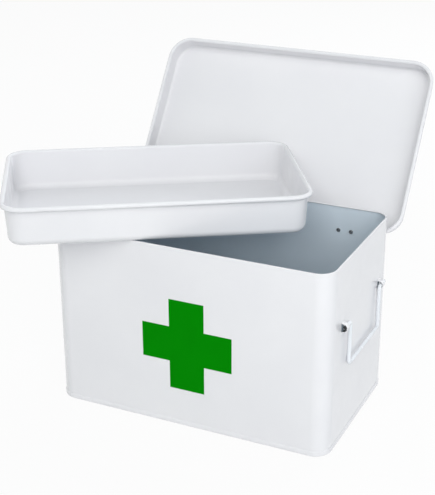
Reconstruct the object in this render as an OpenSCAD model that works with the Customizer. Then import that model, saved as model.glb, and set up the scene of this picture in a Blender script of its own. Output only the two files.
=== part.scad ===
// Sheet-steel medicine box with a hinged over-fitting lid, a lift-out tray and two wire handles.
// X runs across the front, Y runs from the front (minus) to the back (plus), Z is up.
// The origin is the middle of the base, on the surface that the box stands on.
// The lid is drawn closed and then swung open to its stop, and the tray lies across the rim.

/* [Body] */
// Width of the body, outside
body_w = 300; // [240:1:360]
// Depth of the body, outside, front to back
body_d = 177.5; // [166:0.5:240]
// Height of the body to the top of its rolled rim
body_h = 194; // [170:0.1:260]
// Radius of the body's upright corners
body_r = 17.5; // [12:0.5:24]
// Thickness of the steel sheet
sheet_t = 0.6; // [0.5:0.05:1]
// Diameter of the bead that the top edge is rolled into, inwards
rim_d = 2; // [1.6:0.1:3]

/* [Base] */
// Thickness of the base pan's sheet
base_t = 0.45; // [0.4:0.05:0.8]
// Radius between the base pan's floor and its upstand, outside
base_r = 1.5; // [1:0.1:4]
// Height of the upstand that is crimped round the foot of the walls
base_up = 6; // [5:0.5:12]
// Play between the base pan's upstand and the walls
base_play = 0.05; // [0.02:0.01:0.1]

/* [Lid] */
// How far the lid's wall stands outside the body's wall, outer face to outer face
lid_over = 4.7; // [4.2:0.1:8]
// Depth of the lid, from its top to the bottom of its curled edge
lid_depth = 19; // [17:0.5:21]
// Radius between the lid's panel and its wall, outside
lid_edge_r = 3; // [2:0.5:7]
// Diameter of the lid's outward curl
lid_curl_d = 4.1; // [3:0.1:4.6]
// Play between the closed lid's panel and the rim of the stowed tray
lid_play = 0.3; // [0.2:0.1:1]
// Angle that the lid stands open from closed, in degrees
lid_open = 124.2; // [115:0.1:128]

/* [Tray] */
// Depth of the tray, from its rim to its underside
tray_depth = 42; // [25:0.5:60]
// Radius of the tray's upright corners, outside its wall
tray_r = 18; // [16:0.5:26]
// Radius between the tray's wall and its floor, outside
tray_edge_r = 7.5; // [4:0.5:12]
// How far the tray's wall leans in from its rim down to its floor
tray_taper = 1.6; // [0:0.1:3]
// Diameter of the tray's outward curl
tray_curl_d = 5; // [4:0.1:6]
// Play all round between the stowed tray's wall and the body's rim bead
tray_gap = 0.4; // [0.2:0.1:1.5]
// Angle that the tray is turned through where it lies across the box, in degrees
tray_turn = 32; // [20:0.5:40]
// Place of the tray's middle from the body's middle, to the right
tray_x = -75; // [-90:0.5:-70]
// Place of the tray's middle from the body's middle, to the back
tray_y = -7.5; // [-14:0.5:-7]
// Air under the tray, over the rim that carries it
tray_air = 0.25; // [0.1:0.05:1]

/* [Hinges] */
// Distance from each end of the body to the middle of its hinge
hinge_in = 49.5; // [35:0.5:90]
// Width of a hinge
hinge_w = 22; // [20:1:30]
// Distance from the top of the rim down to the hinge line
hinge_drop = 18.8; // [17.5:0.1:20]
// Outer diameter of a knuckle
knuckle_d = 4.4; // [4:0.1:5]
// Diameter of a hinge pin
pin_d = 2.4; // [1.6:0.1:2.6]
// Thickness of a hinge leaf
leaf_t = 1; // [0.6:0.1:1.2]
// Height of the body leaf below the hinge line
leaf_h = 17; // [15.5:0.5:24]
// Length of the middle knuckle and the width of the cranked tongue
tongue_w = 7.8; // [6:0.1:8]
// Clearance between moving parts of a hinge
hinge_play = 0.2; // [0.1:0.05:0.4]
// Radial clearance between a pin and its bore, and a rivet and its hole
fit_play = 0.05; // [0.03:0.01:0.1]

/* [Rivets] */
// Distance between the two rivets of a leaf
rivet_pitch = 14; // [13:0.5:16]
// Distance from the hinge line down to the rivets in the body
rivet_drop = 9.3; // [8.8:0.1:12]
// Diameter of a rivet's shank
rivet_d = 2.8; // [2:0.1:3]
// Diameter of a rivet's head and of its rolled tail
rivet_head_d = 4.4; // [3.6:0.1:4.8]
// Height of a rivet's domed head
rivet_head_h = 1.2; // [0.8:0.1:1.5]

/* [Handles] */
// Distance from the top of the rim down to the line that the handles turn on
handle_drop = 66.2; // [62:0.1:80]
// Place of the handles' middle, to the back of the body's middle
handle_y = 1; // [-5:0.5:7]
// Diameter of the handle wire, with its coating
wire_d = 4; // [3:0.1:4.5]
// Half the distance between the middles of a handle's arms
arm_y = 44.5; // [36:0.5:46]
// Distance from the turning line down to the middle of the grip
grip_drop = 45.5; // [36:0.5:46]
// Length of each turned-out end, from the middle of its arm
end_l = 16; // [14:0.5:20]
// Bend radius of the wire at its corners, to the wire's middle
bend_r = 3.5; // [3:0.1:5]
// Side play of a handle, between its rear arm and the rear lug
arm_play = 0.8; // [0.7:0.1:1.5]
// Play between the wire and the crown of a lug
lug_play = 0.35; // [0.3:0.05:0.6]
// How far a lug stands out from the wall
lug_out = 6.2; // [6:0.1:7]
// Outer radius of a lug's arch
lug_r = 4.4; // [4.2:0.1:4.5]
// Length of a lug along the wall
lug_l = 6; // [4:0.5:9]
// Distance from the handles' middle to the near face of each lug
lug_in = 51.3; // [49.5:0.1:56]
// Radius of the flare where a lug rises out of the wall
lug_flare = 1.5; // [0.8:0.1:1.5]

/* [Cross] */
// Length of the cross from tip to tip
cross_l = 97.9; // [60:0.1:120]
// Width of the cross's arms
cross_w = 38; // [20:0.1:40]
// Place of the cross's middle from the body's middle, to the right
cross_x = 1.5; // [-10:0.5:10]
// Height of the cross's middle above the base
cross_z = 90.2; // [80:0.1:100]
// Thickness of the cross's film
cross_t = 0.15; // [0.1:0.05:0.3]

/* [Hidden] */

$fn = 72;
// overshoot that a cut runs past the face it opens
cut = 1;

paint = [0.93, 0.94, 0.95];
steel = [0.72, 0.73, 0.74];
green = [0, 0.5, 0];

// hinge line: the knuckles stand just clear of the rear wall
hinge_x = body_w / 2 - hinge_in;
axis_off = knuckle_d / 2 + hinge_play;
axis_y = body_d / 2 + axis_off;
axis_z = body_h - hinge_drop;

// base pan, outside, crimped round the walls
base_over = base_play + base_t;

// the closed lid's top lies over the curl of the stowed tray
lid_top = body_h + tray_curl_d + lid_play + sheet_t;
lid_w = body_w + 2 * lid_over;
lid_d = body_d + 2 * lid_over;
lid_r = body_r + lid_over;

// the tray's wall passes the rim bead, and its curl rests on it
tray_w = body_w - 2 * (rim_d + tray_gap);
tray_d = body_d - 2 * (rim_d + tray_gap);

// the lid leaf's outline, from the hinge line, with the lid closed
rim_face = lid_over - axis_off;
curl_z = lid_top - lid_depth + lid_curl_d - axis_z;
strap_y = rim_face - sheet_t + lid_curl_d + 2 * hinge_play;
strap_z = curl_z + 2 * hinge_play;
plate_top = lid_top - lid_edge_r - axis_z;
tongue_a = lid_open - 90;
tongue_low = axis_off - leaf_t - hinge_play;
tongue_up = tongue_low - leaf_t;
lid_rivet_z = (strap_z + leaf_t + plate_top) / 2;

// handle
wire_r = wire_d / 2;
handle_z = body_h - handle_drop;
handle_x = body_w / 2 + lug_out - sheet_t - lug_play - wire_r;
handle_shift = lug_in - arm_y - wire_r - arm_play;
window_z = lug_r + lug_flare;

// Flat rounded rectangle about the origin
module rounded_rect(w, d, r) {
    square([w - 2 * r, d], center = true);
    square([w, d - 2 * r], center = true);
    for (sx = [-1, 1], sy = [-1, 1])
        translate([sx * (w / 2 - r), sy * (d / 2 - r)]) circle(r);
}

// Profile swept round a rounded rectangle; its x is outwards from the outline, its y is up
module swept(w, d, r)
    for (k = [0 : 3]) {
        span = k % 2 == 0 ? [w, d] : [d, w];
        rotate([0, 0, 90 * k]) translate([span.x / 2 - r, span.y / 2 - r, 0]) {
            translate([r, 0, 0]) rotate([90, 0, 0]) linear_extrude(span.y - 2 * r) children();
            rotate_extrude(angle = 90) translate([r, 0]) children();
        }
    }

// Quarter bend of a sheet of thickness t, its middle at the origin, opening down to the right
module bend_2d(r, t)
    intersection() {
        difference() {
            circle(r);
            circle(r - t);
        }
        translate([0, -r]) square(r);
    }

// Curl of the sheet: it leaves the wall at the left, turns over the top and ends short of the wall
module curl_2d(d) {
    gap_a = 50;
    difference() {
        circle(d / 2);
        circle(d / 2 - sheet_t);
        polygon([[0, 0], [-d, 0], [-d, -d], [-d * cos(gap_a), -d * sin(gap_a)]]);
    }
}

// Lug: a strip of the wall pushed out into an arch, seen along the wall; x is outwards
module lug_2d() {
    difference() {
        lug_side_2d(lug_r, lug_flare);
        lug_side_2d(lug_r - sheet_t, lug_flare + sheet_t);
    }
}

// The space under one face of the lug's strip: a round crown on two legs that flare into the wall
module lug_side_2d(arch_r, flare_r) {
    leg = lug_out - lug_r;
    translate([-sheet_t, -arch_r]) square([leg + sheet_t, 2 * arch_r]);
    intersection() {
        translate([leg, 0]) circle(arch_r);
        translate([leg, -arch_r]) square([arch_r, 2 * arch_r]);
    }
    difference() {
        translate([-sheet_t, -window_z]) square([lug_flare + sheet_t, 2 * window_z]);
        for (s = [-1, 1]) translate([lug_flare, s * window_z]) circle(flare_r);
    }
}

// Children at each of the four lugs, x outwards from the wall's face, y along the wall
module at_lugs()
    for (side = [0, 1], end = [-1, 1])
        mirror([side, 0, 0])
            translate([body_w / 2, handle_y + end * (lug_in + lug_l / 2), handle_z]) children();

// Children at the two rivets of each hinge, in the plane of the hinge line
module at_rivets(z)
    for (side = [-1, 1], k = [-1, 1])
        translate([side * hinge_x + k * rivet_pitch / 2, axis_y, axis_z + z]) children();

// Turns the closed lid and what it carries to the open stop
module swung_open()
    translate([0, axis_y, axis_z]) rotate([-lid_open, 0, 0]) translate([0, -axis_y, -axis_z]) children();

// Body

module body_profile_2d() {
    translate([-sheet_t, base_r]) square([sheet_t, body_h - rim_d / 2 - base_r]);
    translate([-rim_d / 2, body_h - rim_d / 2]) circle(rim_d / 2);
}

module body_shell()
    color(paint) {
        difference() {
            swept(body_w, body_d, body_r) body_profile_2d();
            at_lugs()
                translate([-sheet_t - cut, -lug_l / 2, -window_z]) cube([sheet_t + 2 * cut, lug_l, 2 * window_z]);
            at_rivets(-rivet_drop)
                rotate([90, 0, 0]) cylinder(h = axis_off + sheet_t + cut, r = rivet_d / 2 + fit_play);
        }
        at_lugs() translate([0, lug_l / 2, 0]) rotate([90, 0, 0]) linear_extrude(lug_l) lug_2d();
    }

// Base pan: its floor is what the box stands on, its upstand goes round the foot of the walls
module base_profile_2d() {
    translate([-base_t, base_r]) square([base_t, base_up - base_r]);
    translate([-base_r, base_r]) bend_2d(base_r, base_t);
}

module base_pan()
    color(paint) {
        swept(body_w + 2 * base_over, body_d + 2 * base_over, body_r + base_over) base_profile_2d();
        linear_extrude(base_t)
            rounded_rect(body_w + 2 * (base_over - base_r), body_d + 2 * (base_over - base_r), body_r + base_over - base_r);
    }

// Lid

module lid_profile_2d() {
    curl_c = lid_curl_d / 2;
    translate([-sheet_t, curl_c - lid_depth]) square([sheet_t, lid_depth - curl_c - lid_edge_r]);
    translate([-lid_edge_r, -lid_edge_r]) rotate(90) bend_2d(lid_edge_r, sheet_t);
    translate([curl_c - sheet_t, curl_c - lid_depth]) mirror([0, 1]) curl_2d(lid_curl_d);
}

module lid_shell()
    color(paint) swung_open() {
        difference() {
            translate([0, 0, lid_top]) swept(lid_w, lid_d, lid_r) lid_profile_2d();
            at_rivets(lid_rivet_z)
                rotate([-90, 0, 0]) cylinder(h = rim_face + cut, r = rivet_d / 2 + fit_play);
        }
        translate([0, 0, lid_top - sheet_t]) linear_extrude(sheet_t)
            rounded_rect(lid_w - 2 * lid_edge_r, lid_d - 2 * lid_edge_r, lid_r - lid_edge_r);
    }

// Tray

module tray_profile_2d() {
    curl_c = tray_curl_d / 2;
    top = tray_depth - curl_c;
    polygon([
        [-sheet_t, top], [0, top], [-tray_taper, tray_edge_r], [-tray_taper - sheet_t, tray_edge_r],
    ]);
    translate([-tray_taper - tray_edge_r, tray_edge_r]) bend_2d(tray_edge_r, sheet_t);
    translate([curl_c - sheet_t, top]) curl_2d(tray_curl_d);
}

module tray() {
    inset = 2 * (tray_taper + tray_edge_r);
    color(paint) translate([tray_x, tray_y, body_h + tray_air]) rotate([0, 0, tray_turn]) {
        swept(tray_w, tray_d, tray_r) tray_profile_2d();
        linear_extrude(sheet_t) rounded_rect(tray_w - inset, tray_d - inset, tray_r - inset / 2);
    }
}

// Handles

// Right-hand handle: two turned-out ends, two arms and the grip between them
module handle() {
    grip = arm_y - bend_r;
    translate([handle_x, handle_y + handle_shift, handle_z]) for (s = [0, 1]) mirror([0, s, 0]) {
        translate([0, arm_y + bend_r, 0]) rotate([-90, 0, 0]) cylinder(h = end_l - bend_r, r = wire_r);
        translate([0, arm_y + bend_r, -bend_r]) rotate([90, 0, -90])
            rotate_extrude(angle = 90) translate([bend_r, 0]) circle(wire_r);
        translate([0, arm_y, bend_r - grip_drop]) cylinder(h = grip_drop - 2 * bend_r, r = wire_r);
        translate([0, grip, bend_r - grip_drop]) rotate([-90, 0, 90])
            rotate_extrude(angle = 90) translate([bend_r, 0]) circle(wire_r);
        translate([0, 0, -grip_drop]) rotate([-90, 0, 0]) cylinder(h = grip, r = wire_r);
    }
}

module handle_right() color(paint) handle();

module handle_left() color(paint) mirror([1, 0, 0]) handle();

// Hinges, drawn about the hinge line with x along it and the lid closed

module along_x(w) rotate([90, 0, 90]) translate([0, 0, -w / 2]) linear_extrude(w) children();

module body_leaf()
    color(steel) difference() {
        union() {
            for (s = [-1, 1]) translate([s * (hinge_w + tongue_w + 2 * hinge_play) / 4, 0, 0])
                along_x((hinge_w - tongue_w - 2 * hinge_play) / 2) {
                    circle(knuckle_d / 2);
                    translate([-axis_off, -knuckle_d]) square([leaf_t, knuckle_d]);
                }
            translate([0, leaf_t - axis_off, -leaf_h]) rotate([90, 0, 0]) linear_extrude(leaf_t)
                plate_2d(leaf_h - axis_off);
        }
        along_x(hinge_w + 2 * cut) circle(pin_d / 2 + fit_play);
        for (k = [-1, 1]) translate([k * rivet_pitch / 2, cut, -rivet_drop])
            rotate([90, 0, 0]) cylinder(h = axis_off + 2 * cut, r = rivet_d / 2 + fit_play);
    }

// Leaf plate with its free corners rounded, standing on y = 0 with the round corners down
module plate_2d(h) {
    corner = 2;
    translate([-hinge_w / 2, corner]) square([hinge_w, h - corner]);
    translate([corner - hinge_w / 2, 0]) square([hinge_w - 2 * corner, h]);
    for (s = [-1, 1]) translate([s * (hinge_w / 2 - corner), corner]) circle(corner);
}

// Side view of the whole cranked lid leaf: tongue, run outside the curl, step over it, plate
module lid_leaf_2d() {
    d = [cos(tongue_a), sin(tongue_a)];
    n = [sin(tongue_a), -cos(tongue_a)];
    up = (strap_y - tongue_up * n.x) / d.x;
    low = (strap_y + leaf_t - tongue_low * n.x) / d.x;
    polygon([
        [rim_face, plate_top], [rim_face, strap_z], [strap_y, strap_z], up * d + tongue_up * n,
        tongue_up * n, tongue_low * n, low * d + tongue_low * n,
        [strap_y + leaf_t, strap_z + leaf_t], [rim_face + leaf_t, strap_z + leaf_t], [rim_face + leaf_t, plate_top],
    ]);
}

module lid_leaf()
    color(steel) difference() {
        union() {
            along_x(tongue_w) {
                circle(knuckle_d / 2);
                lid_leaf_2d();
            }
            along_x(hinge_w) intersection() {
                lid_leaf_2d();
                translate([0, strap_z]) square([2 * strap_y, plate_top]);
            }
        }
        along_x(tongue_w + 2 * cut) circle(pin_d / 2 + fit_play);
        for (k = [-1, 1]) translate([k * rivet_pitch / 2, rim_face - cut, lid_rivet_z])
            rotate([-90, 0, 0]) cylinder(h = leaf_t + 2 * cut, r = rivet_d / 2 + fit_play);
    }

module hinge_left_body_leaf() translate([-hinge_x, axis_y, axis_z]) body_leaf();

module hinge_right_body_leaf() translate([hinge_x, axis_y, axis_z]) body_leaf();

module hinge_left_lid_leaf() swung_open() translate([-hinge_x, axis_y, axis_z]) lid_leaf();

module hinge_right_lid_leaf() swung_open() translate([hinge_x, axis_y, axis_z]) lid_leaf();

module hinge_pin(x)
    color(steel) translate([x, axis_y, axis_z]) along_x(hinge_w) circle(pin_d / 2);

module hinge_left_pin() hinge_pin(-hinge_x);

module hinge_right_pin() hinge_pin(hinge_x);

// Rivets

// Rivet along y: domed head on the outer face of the leaf at y = 0, tail rolled out against the sheet
module rivet() {
    grip = leaf_t + sheet_t;
    roll = (rivet_head_d - rivet_d) / 4 + fit_play;
    dome_r = (pow(rivet_head_d / 2, 2) + pow(rivet_head_h, 2)) / (2 * rivet_head_h);
    rotate([90, 0, 0]) rotate_extrude() {
        difference() {
            translate([0, -grip - 2 * roll]) square([rivet_d / 2, grip + 2 * roll]);
            translate([0, -grip - 2 * roll]) square([rivet_d / 4, grip]);
        }
        translate([rivet_head_d / 2 - roll, -grip - roll]) circle(roll);
        intersection() {
            translate([0, rivet_head_h - dome_r]) circle(dome_r);
            square([rivet_head_d, rivet_head_h]);
        }
    }
}

module body_rivets()
    color(steel) at_rivets(-rivet_drop) translate([0, leaf_t - axis_off, 0]) mirror([0, 1, 0]) rivet();

module lid_rivets()
    color(steel) swung_open() at_rivets(lid_rivet_z)
        translate([0, rim_face + leaf_t, 0]) mirror([0, 1, 0]) rivet();

// Cross on the front

module cross_mark()
    color(green) translate([cross_x, -body_d / 2, cross_z]) rotate([90, 0, 0]) linear_extrude(cross_t) {
        square([cross_l, cross_w], center = true);
        square([cross_w, cross_l], center = true);
    }

body_shell();
base_pan();
lid_shell();
tray();
handle_left();
handle_right();
hinge_left_body_leaf();
hinge_right_body_leaf();
hinge_left_lid_leaf();
hinge_right_lid_leaf();
hinge_left_pin();
hinge_right_pin();
body_rivets();
lid_rivets();
cross_mark();
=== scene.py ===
import math

import bmesh
import bpy
import numpy as np
from bpy.props import FloatProperty, FloatVectorProperty, PointerProperty
from mathutils import Matrix, Vector


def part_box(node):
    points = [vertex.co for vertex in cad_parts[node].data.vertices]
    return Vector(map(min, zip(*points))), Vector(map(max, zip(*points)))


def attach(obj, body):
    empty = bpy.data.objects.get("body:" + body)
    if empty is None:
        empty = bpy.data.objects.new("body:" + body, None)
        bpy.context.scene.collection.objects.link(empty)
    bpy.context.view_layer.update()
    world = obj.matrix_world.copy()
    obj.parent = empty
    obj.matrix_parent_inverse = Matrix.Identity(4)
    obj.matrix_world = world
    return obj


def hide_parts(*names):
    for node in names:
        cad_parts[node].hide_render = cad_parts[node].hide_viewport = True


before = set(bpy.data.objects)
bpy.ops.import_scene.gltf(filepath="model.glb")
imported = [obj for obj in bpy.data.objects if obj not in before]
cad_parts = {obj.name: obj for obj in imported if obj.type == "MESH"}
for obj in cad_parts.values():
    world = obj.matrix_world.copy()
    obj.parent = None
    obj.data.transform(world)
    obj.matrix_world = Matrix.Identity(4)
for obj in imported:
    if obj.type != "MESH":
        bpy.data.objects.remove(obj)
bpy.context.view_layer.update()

bl_info = {
    "name": "Medicine box",
    "version": (1, 0, 0),
    "blender": (4, 5, 0),
    "location": "View3D > Sidebar > Medicine Box",
    "description": "Builds an open painted-steel medicine box with its lift-out tray, in its own studio",
    "category": "Object",
}


# Sizes and colours that a user would change

def length(name, description, default):
    return FloatProperty(name=name, description=description, default=default, min=0.0, unit="LENGTH", precision=5)


def turn(name, description, degrees):
    return FloatProperty(name=name, description=description, default=math.radians(degrees), unit="ROTATION")


def share(name, description, default):
    return FloatProperty(name=name, description=description, default=default, min=0.0, max=1.0, subtype="FACTOR")


def power(name, description, default):
    return FloatProperty(name=name, description=description, default=default, min=0.0, unit="POWER")


def colour(name, description, default):
    return FloatVectorProperty(
        name=name, description=description, default=default, size=3, min=0.0, max=1.0, subtype="COLOR")


class MedicineBoxSizes(bpy.types.PropertyGroup):
    body_width: length("Body width", "Outside width of the body", 0.3)
    body_depth: length("Body depth", "Outside depth of the body, front to back", 0.1775)
    body_height: length("Body height", "Height of the body to the top of its rolled rim", 0.194)
    body_corner: length("Body corner", "Radius of the body's upright corners", 0.0175)
    sheet: length("Sheet", "Thickness of the steel sheet", 0.0006)
    rim_bead: length("Rim bead", "Diameter that the top edge is rolled to", 0.002)
    base_sheet: length("Base sheet", "Thickness of the base pan's sheet", 0.00045)
    base_bend: length("Base bend", "Radius between the base pan's floor and its upstand", 0.0015)
    base_upstand: length("Base upstand", "Height of the crimped upstand", 0.006)
    base_proud: length("Base proud", "How far the base pan stands outside the walls", 0.0005)
    lid_over: length("Lid overhang", "How far the lid's wall stands outside the body's wall", 0.0047)
    lid_depth: length("Lid depth", "Depth of the lid with its curled edge", 0.019)
    lid_edge: length("Lid edge", "Radius between the lid's panel and its wall", 0.003)
    lid_curl: length("Lid curl", "Diameter of the lid's curl", 0.0041)
    lid_height: length("Lid height", "Height of the closed lid's top", 0.1999)
    lid_open: turn("Lid open", "Angle that the lid stands open", 124.2)
    tray_width: length("Tray width", "Width of the tray's wall below its curl", 0.2952)
    tray_across: length("Tray depth, front to back", "Size of the tray's wall the short way", 0.1727)
    tray_height: length("Tray height", "Height of the tray", 0.042)
    tray_corner: length("Tray corner", "Radius of the tray's upright corners", 0.018)
    tray_edge: length("Tray edge", "Radius between the tray's wall and its floor", 0.0075)
    tray_lean: length("Tray lean", "How far the tray's wall leans in at its floor", 0.0016)
    tray_curl: length("Tray curl", "Diameter of the tray's curl", 0.005)
    tray_air: length("Tray air", "Air between the rim and the tray that lies on it", 0.00025)
    tray_turn: turn("Tray turn", "Angle that the tray is turned through where it lies", 32)
    hinge_out: length("Hinge place", "Distance from the middle of the box to each hinge", 0.1005)
    hinge_width: length("Hinge width", "Width of a hinge", 0.022)
    hinge_line: length("Hinge line", "Height of the hinge line above the base", 0.1752)
    hinge_back: length("Hinge stand-off", "Distance from the rear wall to the hinge line", 0.0024)
    knuckle: length("Knuckle", "Outer diameter of a knuckle", 0.0044)
    pin: length("Pin", "Diameter of a hinge pin", 0.0024)
    leaf: length("Leaf", "Thickness of a hinge leaf", 0.001)
    leaf_air: length("Leaf air", "Air between a leaf and the pin or wall that it touches", 0.00005)
    leaf_drop: length("Leaf height", "Height of the body leaf below the hinge line", 0.017)
    tongue: length("Tongue", "Width of the lid leaf's tongue and knuckle", 0.0078)
    hinge_play: length("Hinge play", "Clearance between moving parts of a hinge", 0.0002)
    rivet_pitch: length("Rivet pitch", "Distance between the two rivets of a leaf", 0.014)
    rivet_drop: length("Rivet drop", "Distance from the hinge line down to the body's rivets", 0.0093)
    rivet_shank: length("Rivet shank", "Diameter of a rivet's shank", 0.0028)
    rivet_head: length("Rivet head", "Diameter of a rivet's head", 0.0044)
    rivet_dome: length("Rivet dome", "Height of a rivet's head", 0.0012)
    handle_line: length("Handle line", "Height of the line that the handles turn on", 0.1278)
    handle_back: length("Handle place", "Place of the handle's middle, to the back", 0.005)
    lug_back: length("Lug place", "Middle between the lugs, to the back", 0.001)
    wire: length("Wire", "Diameter of the handle wire", 0.004)
    arm_half: length("Arm", "Half the distance between the handle's arms", 0.0445)
    grip_drop: length("Grip drop", "Distance from the turning line to the grip", 0.0455)
    end_length: length("Turned-out end", "Length of each turned-out end", 0.016)
    wire_bend: length("Wire bend", "Bend radius of the wire", 0.0035)
    lug_reach: length("Lug reach", "How far a lug stands out from the wall", 0.0062)
    lug_arch: length("Lug arch", "Outer radius of a lug's arch", 0.0044)
    lug_width: length("Lug width", "Length of a lug along the wall", 0.006)
    lug_near: length("Lug distance", "Distance from the middle to the near face of each lug", 0.0513)
    lug_flare: length("Lug flare", "Radius where a lug rises out of the wall", 0.0015)
    lug_play: length("Lug play", "Play between the wire and the lug's crown", 0.00035)


class MedicineBoxFinish(bpy.types.PropertyGroup):
    paint: colour("Paint", "Colour of the outside paint", (0.8, 0.796, 0.815))
    paint_thin: colour("Thin paint", "Colour where the paint's film is thinner", (0.776, 0.772, 0.795))
    paint_gloss: share("Paint roughness", "Roughness of the paint", 0.2)
    # Bluish grey, darker than the outside paint: painted shade on the inside of the body.
    inside: colour("Inside coat", "Colour of the coat inside the body", (0.68, 0.762, 0.828))
    inside_shade_thin: colour("Thinner inside painted shade", "Colour where the inside coat is thinner", (0.66, 0.743, 0.812))
    wire: colour("Wire coat", "Colour of the coated handle wire", (0.79, 0.815, 0.85))
    steel: colour("Plated steel", "Colour of hinges, pins and rivets", (0.55, 0.56, 0.57))
    # Near-black, much darker than bare steel: painted shade inside the lugs, on the windows' cut edges and on the
    # wire ends.
    bare: colour("Dark steel and painted shade", "Colour where the coat hardly reaches: inside lugs, cut edges and wire ends",
                 (0.02, 0.022, 0.025))
    cross: colour("Cross", "Colour of the printed cross", (0.0, 0.2159, 0.0))


class MedicineBoxStage(bpy.types.PropertyGroup):
    camera_x: FloatProperty(name="Camera X", description="Camera's place", default=0.46666, unit="LENGTH")
    camera_y: FloatProperty(name="Camera Y", description="Camera's place", default=-0.9936, unit="LENGTH")
    camera_z: FloatProperty(name="Camera Z", description="Camera's place", default=0.6228, unit="LENGTH")
    camera_round: turn("Camera round", "Angle of the camera round the object", 24.577)
    camera_up: turn("Camera up", "Angle of the camera above the horizon", 22.457)
    camera_roll: turn("Camera roll", "Turn of the picture", 0.095)
    focal_length: FloatProperty(name="Focal length", description="For a 36 mm picture", default=84.319, min=1.0)
    shift_x: FloatProperty(name="Shift X", description="Shift of the picture", default=-0.03337, precision=5)
    shift_y: FloatProperty(name="Shift Y", description="Shift of the picture", default=-0.01158, precision=5)
    surround: FloatProperty(name="Surround", description="Strength of the soft surround", default=0.36, min=0.0)
    key: power("Key lamp", "Power of the key lamp, high in front", 21.5)
    fill: power("Fill lamp", "Power of the lamp in front on the right", 12.0)
    left: power("Left lamp", "Power of the lamp on the left", 6.6)
    back: power("Back lamp", "Power of the lamp behind", 26.0)
    glint: power("Glint lamps", "Power of each small lamp that the gloss mirrors", 0.3)
    floor: colour("Floor", "Colour of the floor", (0.65, 0.65, 0.65))
    floor_lift: share("Floor lift", "How far the floor is lifted to white", 0.94)


# Outlines and meshes

CORNER_STEPS = 18
CREASE = math.radians(40)  # sharper edges aren't shaded smooth


def arc(across, up, radius, start, end, steps):
    """Points on a circle's arc between two angles in degrees."""
    return [(across + radius * math.cos(a), up + radius * math.sin(a))
            for a in np.radians(np.linspace(start, end, steps + 1))]


def between(a, b, shares):
    """Points on the straight line from a to b."""
    return [(a[0] + (b[0] - a[0]) * t, a[1] + (b[1] - a[1]) * t) for t in shares]


def round_outline(width, depth, corner, along_x, along_y):
    """Places round a rounded rectangle: the corner's centre line and the outward direction.
    along_x and along_y are the places on the straight parts of the long and the short sides."""
    hx, hy = width / 2 - corner, depth / 2 - corner
    centres, outs = [], []
    sides = [
        ([(hx, y) for y in along_y], 0), ([(x, hy) for x in reversed(along_x)], 90),
        ([(-hx, y) for y in reversed(along_y)], 180), ([(x, -hy) for x in along_x], 270),
    ]
    for points, angle in sides:
        for p in points:
            centres.append(p)
            outs.append((math.cos(math.radians(angle)), math.sin(math.radians(angle))))
        for a in np.radians(np.linspace(angle, angle + 90, CORNER_STEPS + 1))[1:-1]:
            centres.append(points[-1])
            outs.append((math.cos(a), math.sin(a)))
    return np.array(centres), np.array(outs)


def even(half, steps):
    return list(np.linspace(-half, half, steps + 1))


def ring(outline, offset, height):
    centres, outs = outline
    flat = centres + outs * offset
    return np.column_stack([flat, np.full(len(flat), height)])


def floor_rings(edge, height, steps, crown):
    """Rings that close a floor from its edge to a line in its middle; crown lifts the middle."""
    half_x, half_y = np.abs(edge[:, 0]).max(), np.abs(edge[:, 1]).max()
    spine = np.column_stack([
        np.clip(edge[:, 0], -(half_x - half_y), half_x - half_y), np.zeros(len(edge)), np.full(len(edge), height)])
    rows = []
    for t in np.linspace(0, 1, steps + 1)[1:]:
        row = edge + (spine - edge) * t
        row[:, 2] = height + crown * t * t * (3 - 2 * t)
        rows.append(row)
    return rows


def band(rows, count, start=0):
    """Quads between closed rows of count points each, numbered from start."""
    faces = []
    for j in range(rows - 1):
        a, b = start + j * count, start + (j + 1) * count
        faces += [(a + i, a + (i + 1) % count, b + (i + 1) % count, b + i) for i in range(count)]
    return faces


def shown(name, data):
    """Object in the scene that shows a mesh, lamp or camera."""
    obj = bpy.data.objects.new(name, data)
    bpy.context.scene.collection.objects.link(obj)
    return obj


def baked(obj, modifier):
    """Gives the object the plain mesh that its modifier makes, and removes the modifier."""
    mesh = bpy.data.meshes.new_from_object(obj.evaluated_get(bpy.context.evaluated_depsgraph_get()))
    obj.modifiers.remove(modifier)
    obj.data = mesh
    return mesh


def solid_mesh(name, points, faces, finishes, finish_of=None):
    """Mesh object of a closed surface: doubles merged, faces outwards, smooth up to the crease."""
    mesh = bpy.data.meshes.new(name)
    mesh.from_pydata([tuple(p) for p in points], [], faces)
    for f in finishes:
        mesh.materials.append(f)
    if finish_of is not None:
        mesh.polygons.foreach_set("material_index", finish_of)
    bm = bmesh.new()
    bm.from_mesh(mesh)
    bmesh.ops.remove_doubles(bm, verts=bm.verts, dist=1e-6)
    bmesh.ops.dissolve_degenerate(bm, edges=bm.edges, dist=1e-7)
    bmesh.ops.recalc_face_normals(bm, faces=bm.faces)
    bm.to_mesh(mesh)
    bm.free()
    mesh.shade_smooth()
    mesh.set_sharp_from_angle(angle=CREASE)
    return shown(name, mesh)


def place(obj, matrix):
    """Puts the object's place into its mesh, so that the object itself stays at the origin."""
    obj.data.transform(matrix)
    obj.data.update()


def stand_in(obj, body, slot, *nodes, slack=0.002):
    """The piece rides on its body and stands for its CAD nodes, inside the box that they hold."""
    low = Vector([min(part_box(n)[0][k] for n in nodes) for k in range(3)])
    high = Vector([max(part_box(n)[1][k] for n in nodes) for k in range(3)])
    for v in obj.data.vertices:
        for k in range(3):
            if not low[k] - slack <= v.co[k] <= high[k] + slack:
                raise RuntimeError(f"{obj.name} leaves the place of {nodes[0]} at {tuple(v.co)}")
    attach(obj, body)
    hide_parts(*nodes)


def swung_open(sizes):
    """From the closed lid's place to the open one."""
    line = Vector((0, sizes.body_depth / 2 + sizes.hinge_back, sizes.hinge_line))
    return Matrix.Translation(line) @ Matrix.Rotation(-sizes.lid_open, 4, "X") @ Matrix.Translation(-line)


# Nodes and finishes

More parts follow.
